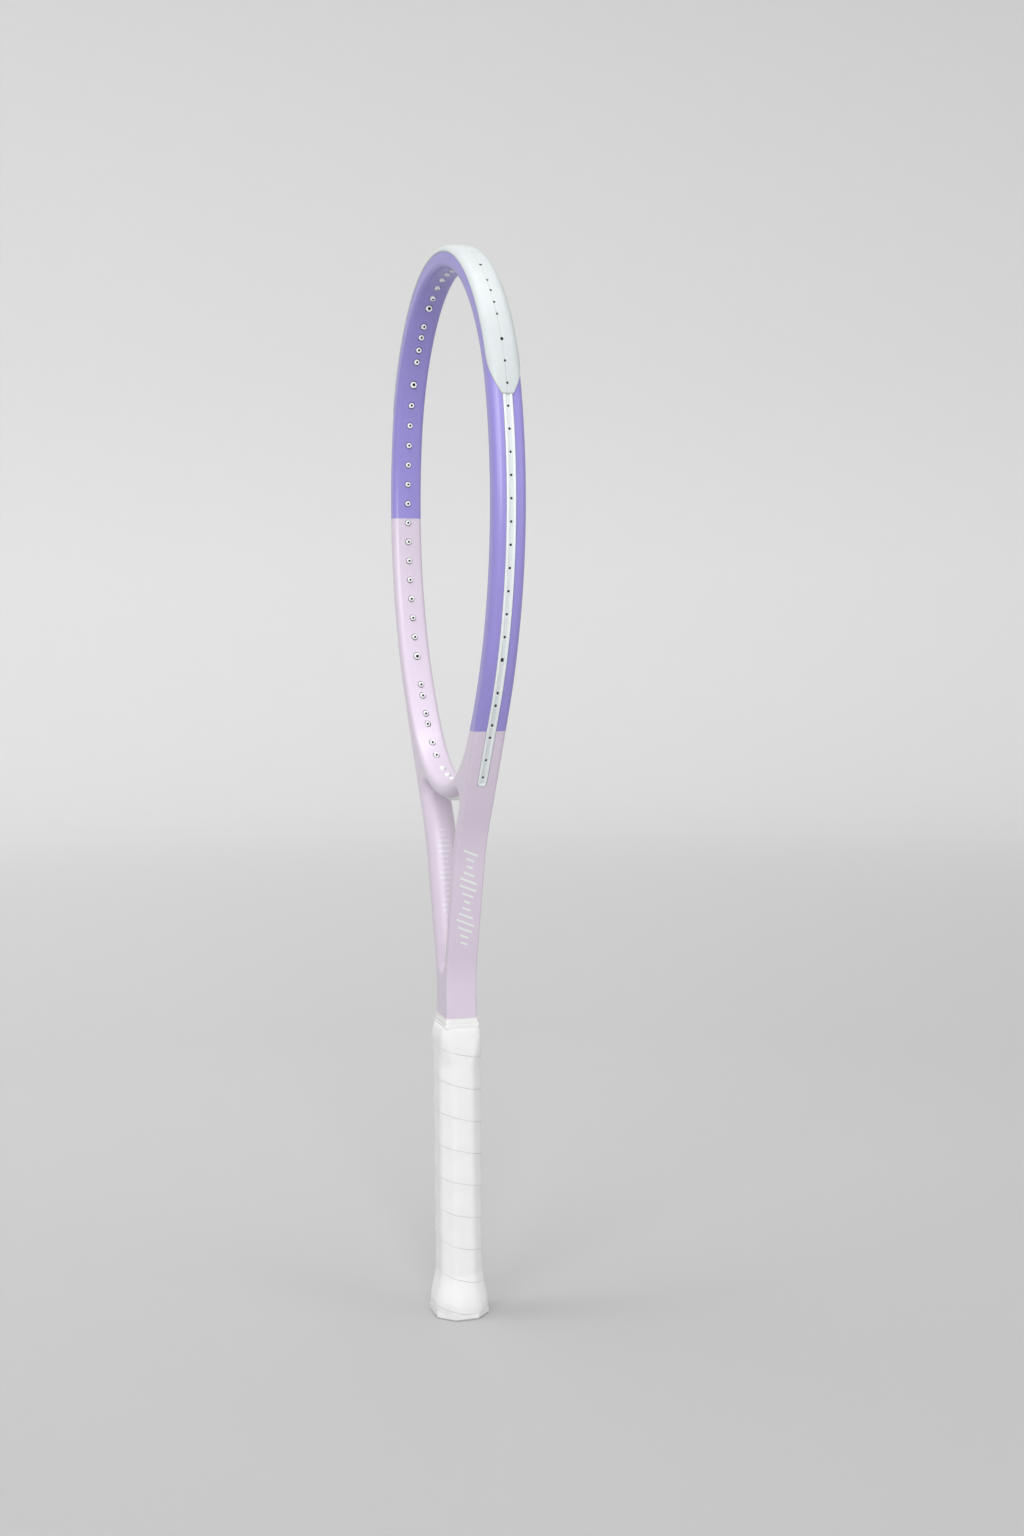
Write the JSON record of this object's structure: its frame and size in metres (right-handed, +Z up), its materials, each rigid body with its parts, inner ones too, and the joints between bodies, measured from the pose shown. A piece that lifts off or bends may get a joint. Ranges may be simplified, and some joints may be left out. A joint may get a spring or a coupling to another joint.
{
  "type": "tennis racket",
  "caption": "Unstrung tennis racket frame with two-tone hoop, bumper guard, grommet strips and wrapped handle.",
  "frame": {"origin": "middle of the butt cap's resting face", "axes": "+Z up the racket to the crown, +X across the head in the string plane, +Y normal to the strings"},
  "size_m": [0.2602, 0.0356, 0.685],
  "materials": {
    "frame_lacquer": "two-tone lacquer over carbon, violet above and pale lilac below",
    "bridge_lacquer": "pale lilac lacquer over carbon",
    "bridge_foam": "rigid foam",
    "bumper_nylon": "satin moulded nylon",
    "right_strip_nylon": "satin moulded nylon",
    "left_strip_nylon": "satin moulded nylon",
    "throat_strip_nylon": "satin moulded nylon",
    "right_pallet_foam": "rigid moulded foam",
    "left_pallet_foam": "rigid moulded foam",
    "weight_lead": "cast lead",
    "cap_shell": "satin moulded shell",
    "door_shell": "satin moulded plate",
    "staple_steel": "plain steel wire",
    "tack_steel": "plain steel",
    "adhesive": "thin double-sided tape",
    "grip_ribbon": "white synthetic leather ribbon",
    "finishing_film": "stretched vinyl tape"
  },
  "bodies": {
    "racket": {"frame_tube": "frame_lacquer", "throat_bridge": "bridge_lacquer", "bridge_foam_core": "bridge_foam", "bumper_guard": "bumper_nylon", "grommet_strip_right": "right_strip_nylon", "grommet_strip_left": "left_strip_nylon", "throat_grommet_strip": "throat_strip_nylon", "pallet_right": "right_pallet_foam", "pallet_left": "left_pallet_foam", "tail_weights": "weight_lead", "butt_cap": "cap_shell", "butt_cap_staples": "staple_steel", "grip_tack": "tack_steel", "adhesive_tape": "adhesive", "grip_wrap": "grip_ribbon", "finishing_tape": "finishing_film"},
    "trap_door": {"butt_cap_door": "door_shell"}
  },
  "joints": [
    {"name": "trap_door_slide", "type": "slide", "parent": "racket", "child": "trap_door", "axis": [0, 0, -1], "range_m": [0, 0.012]}
  ]
}
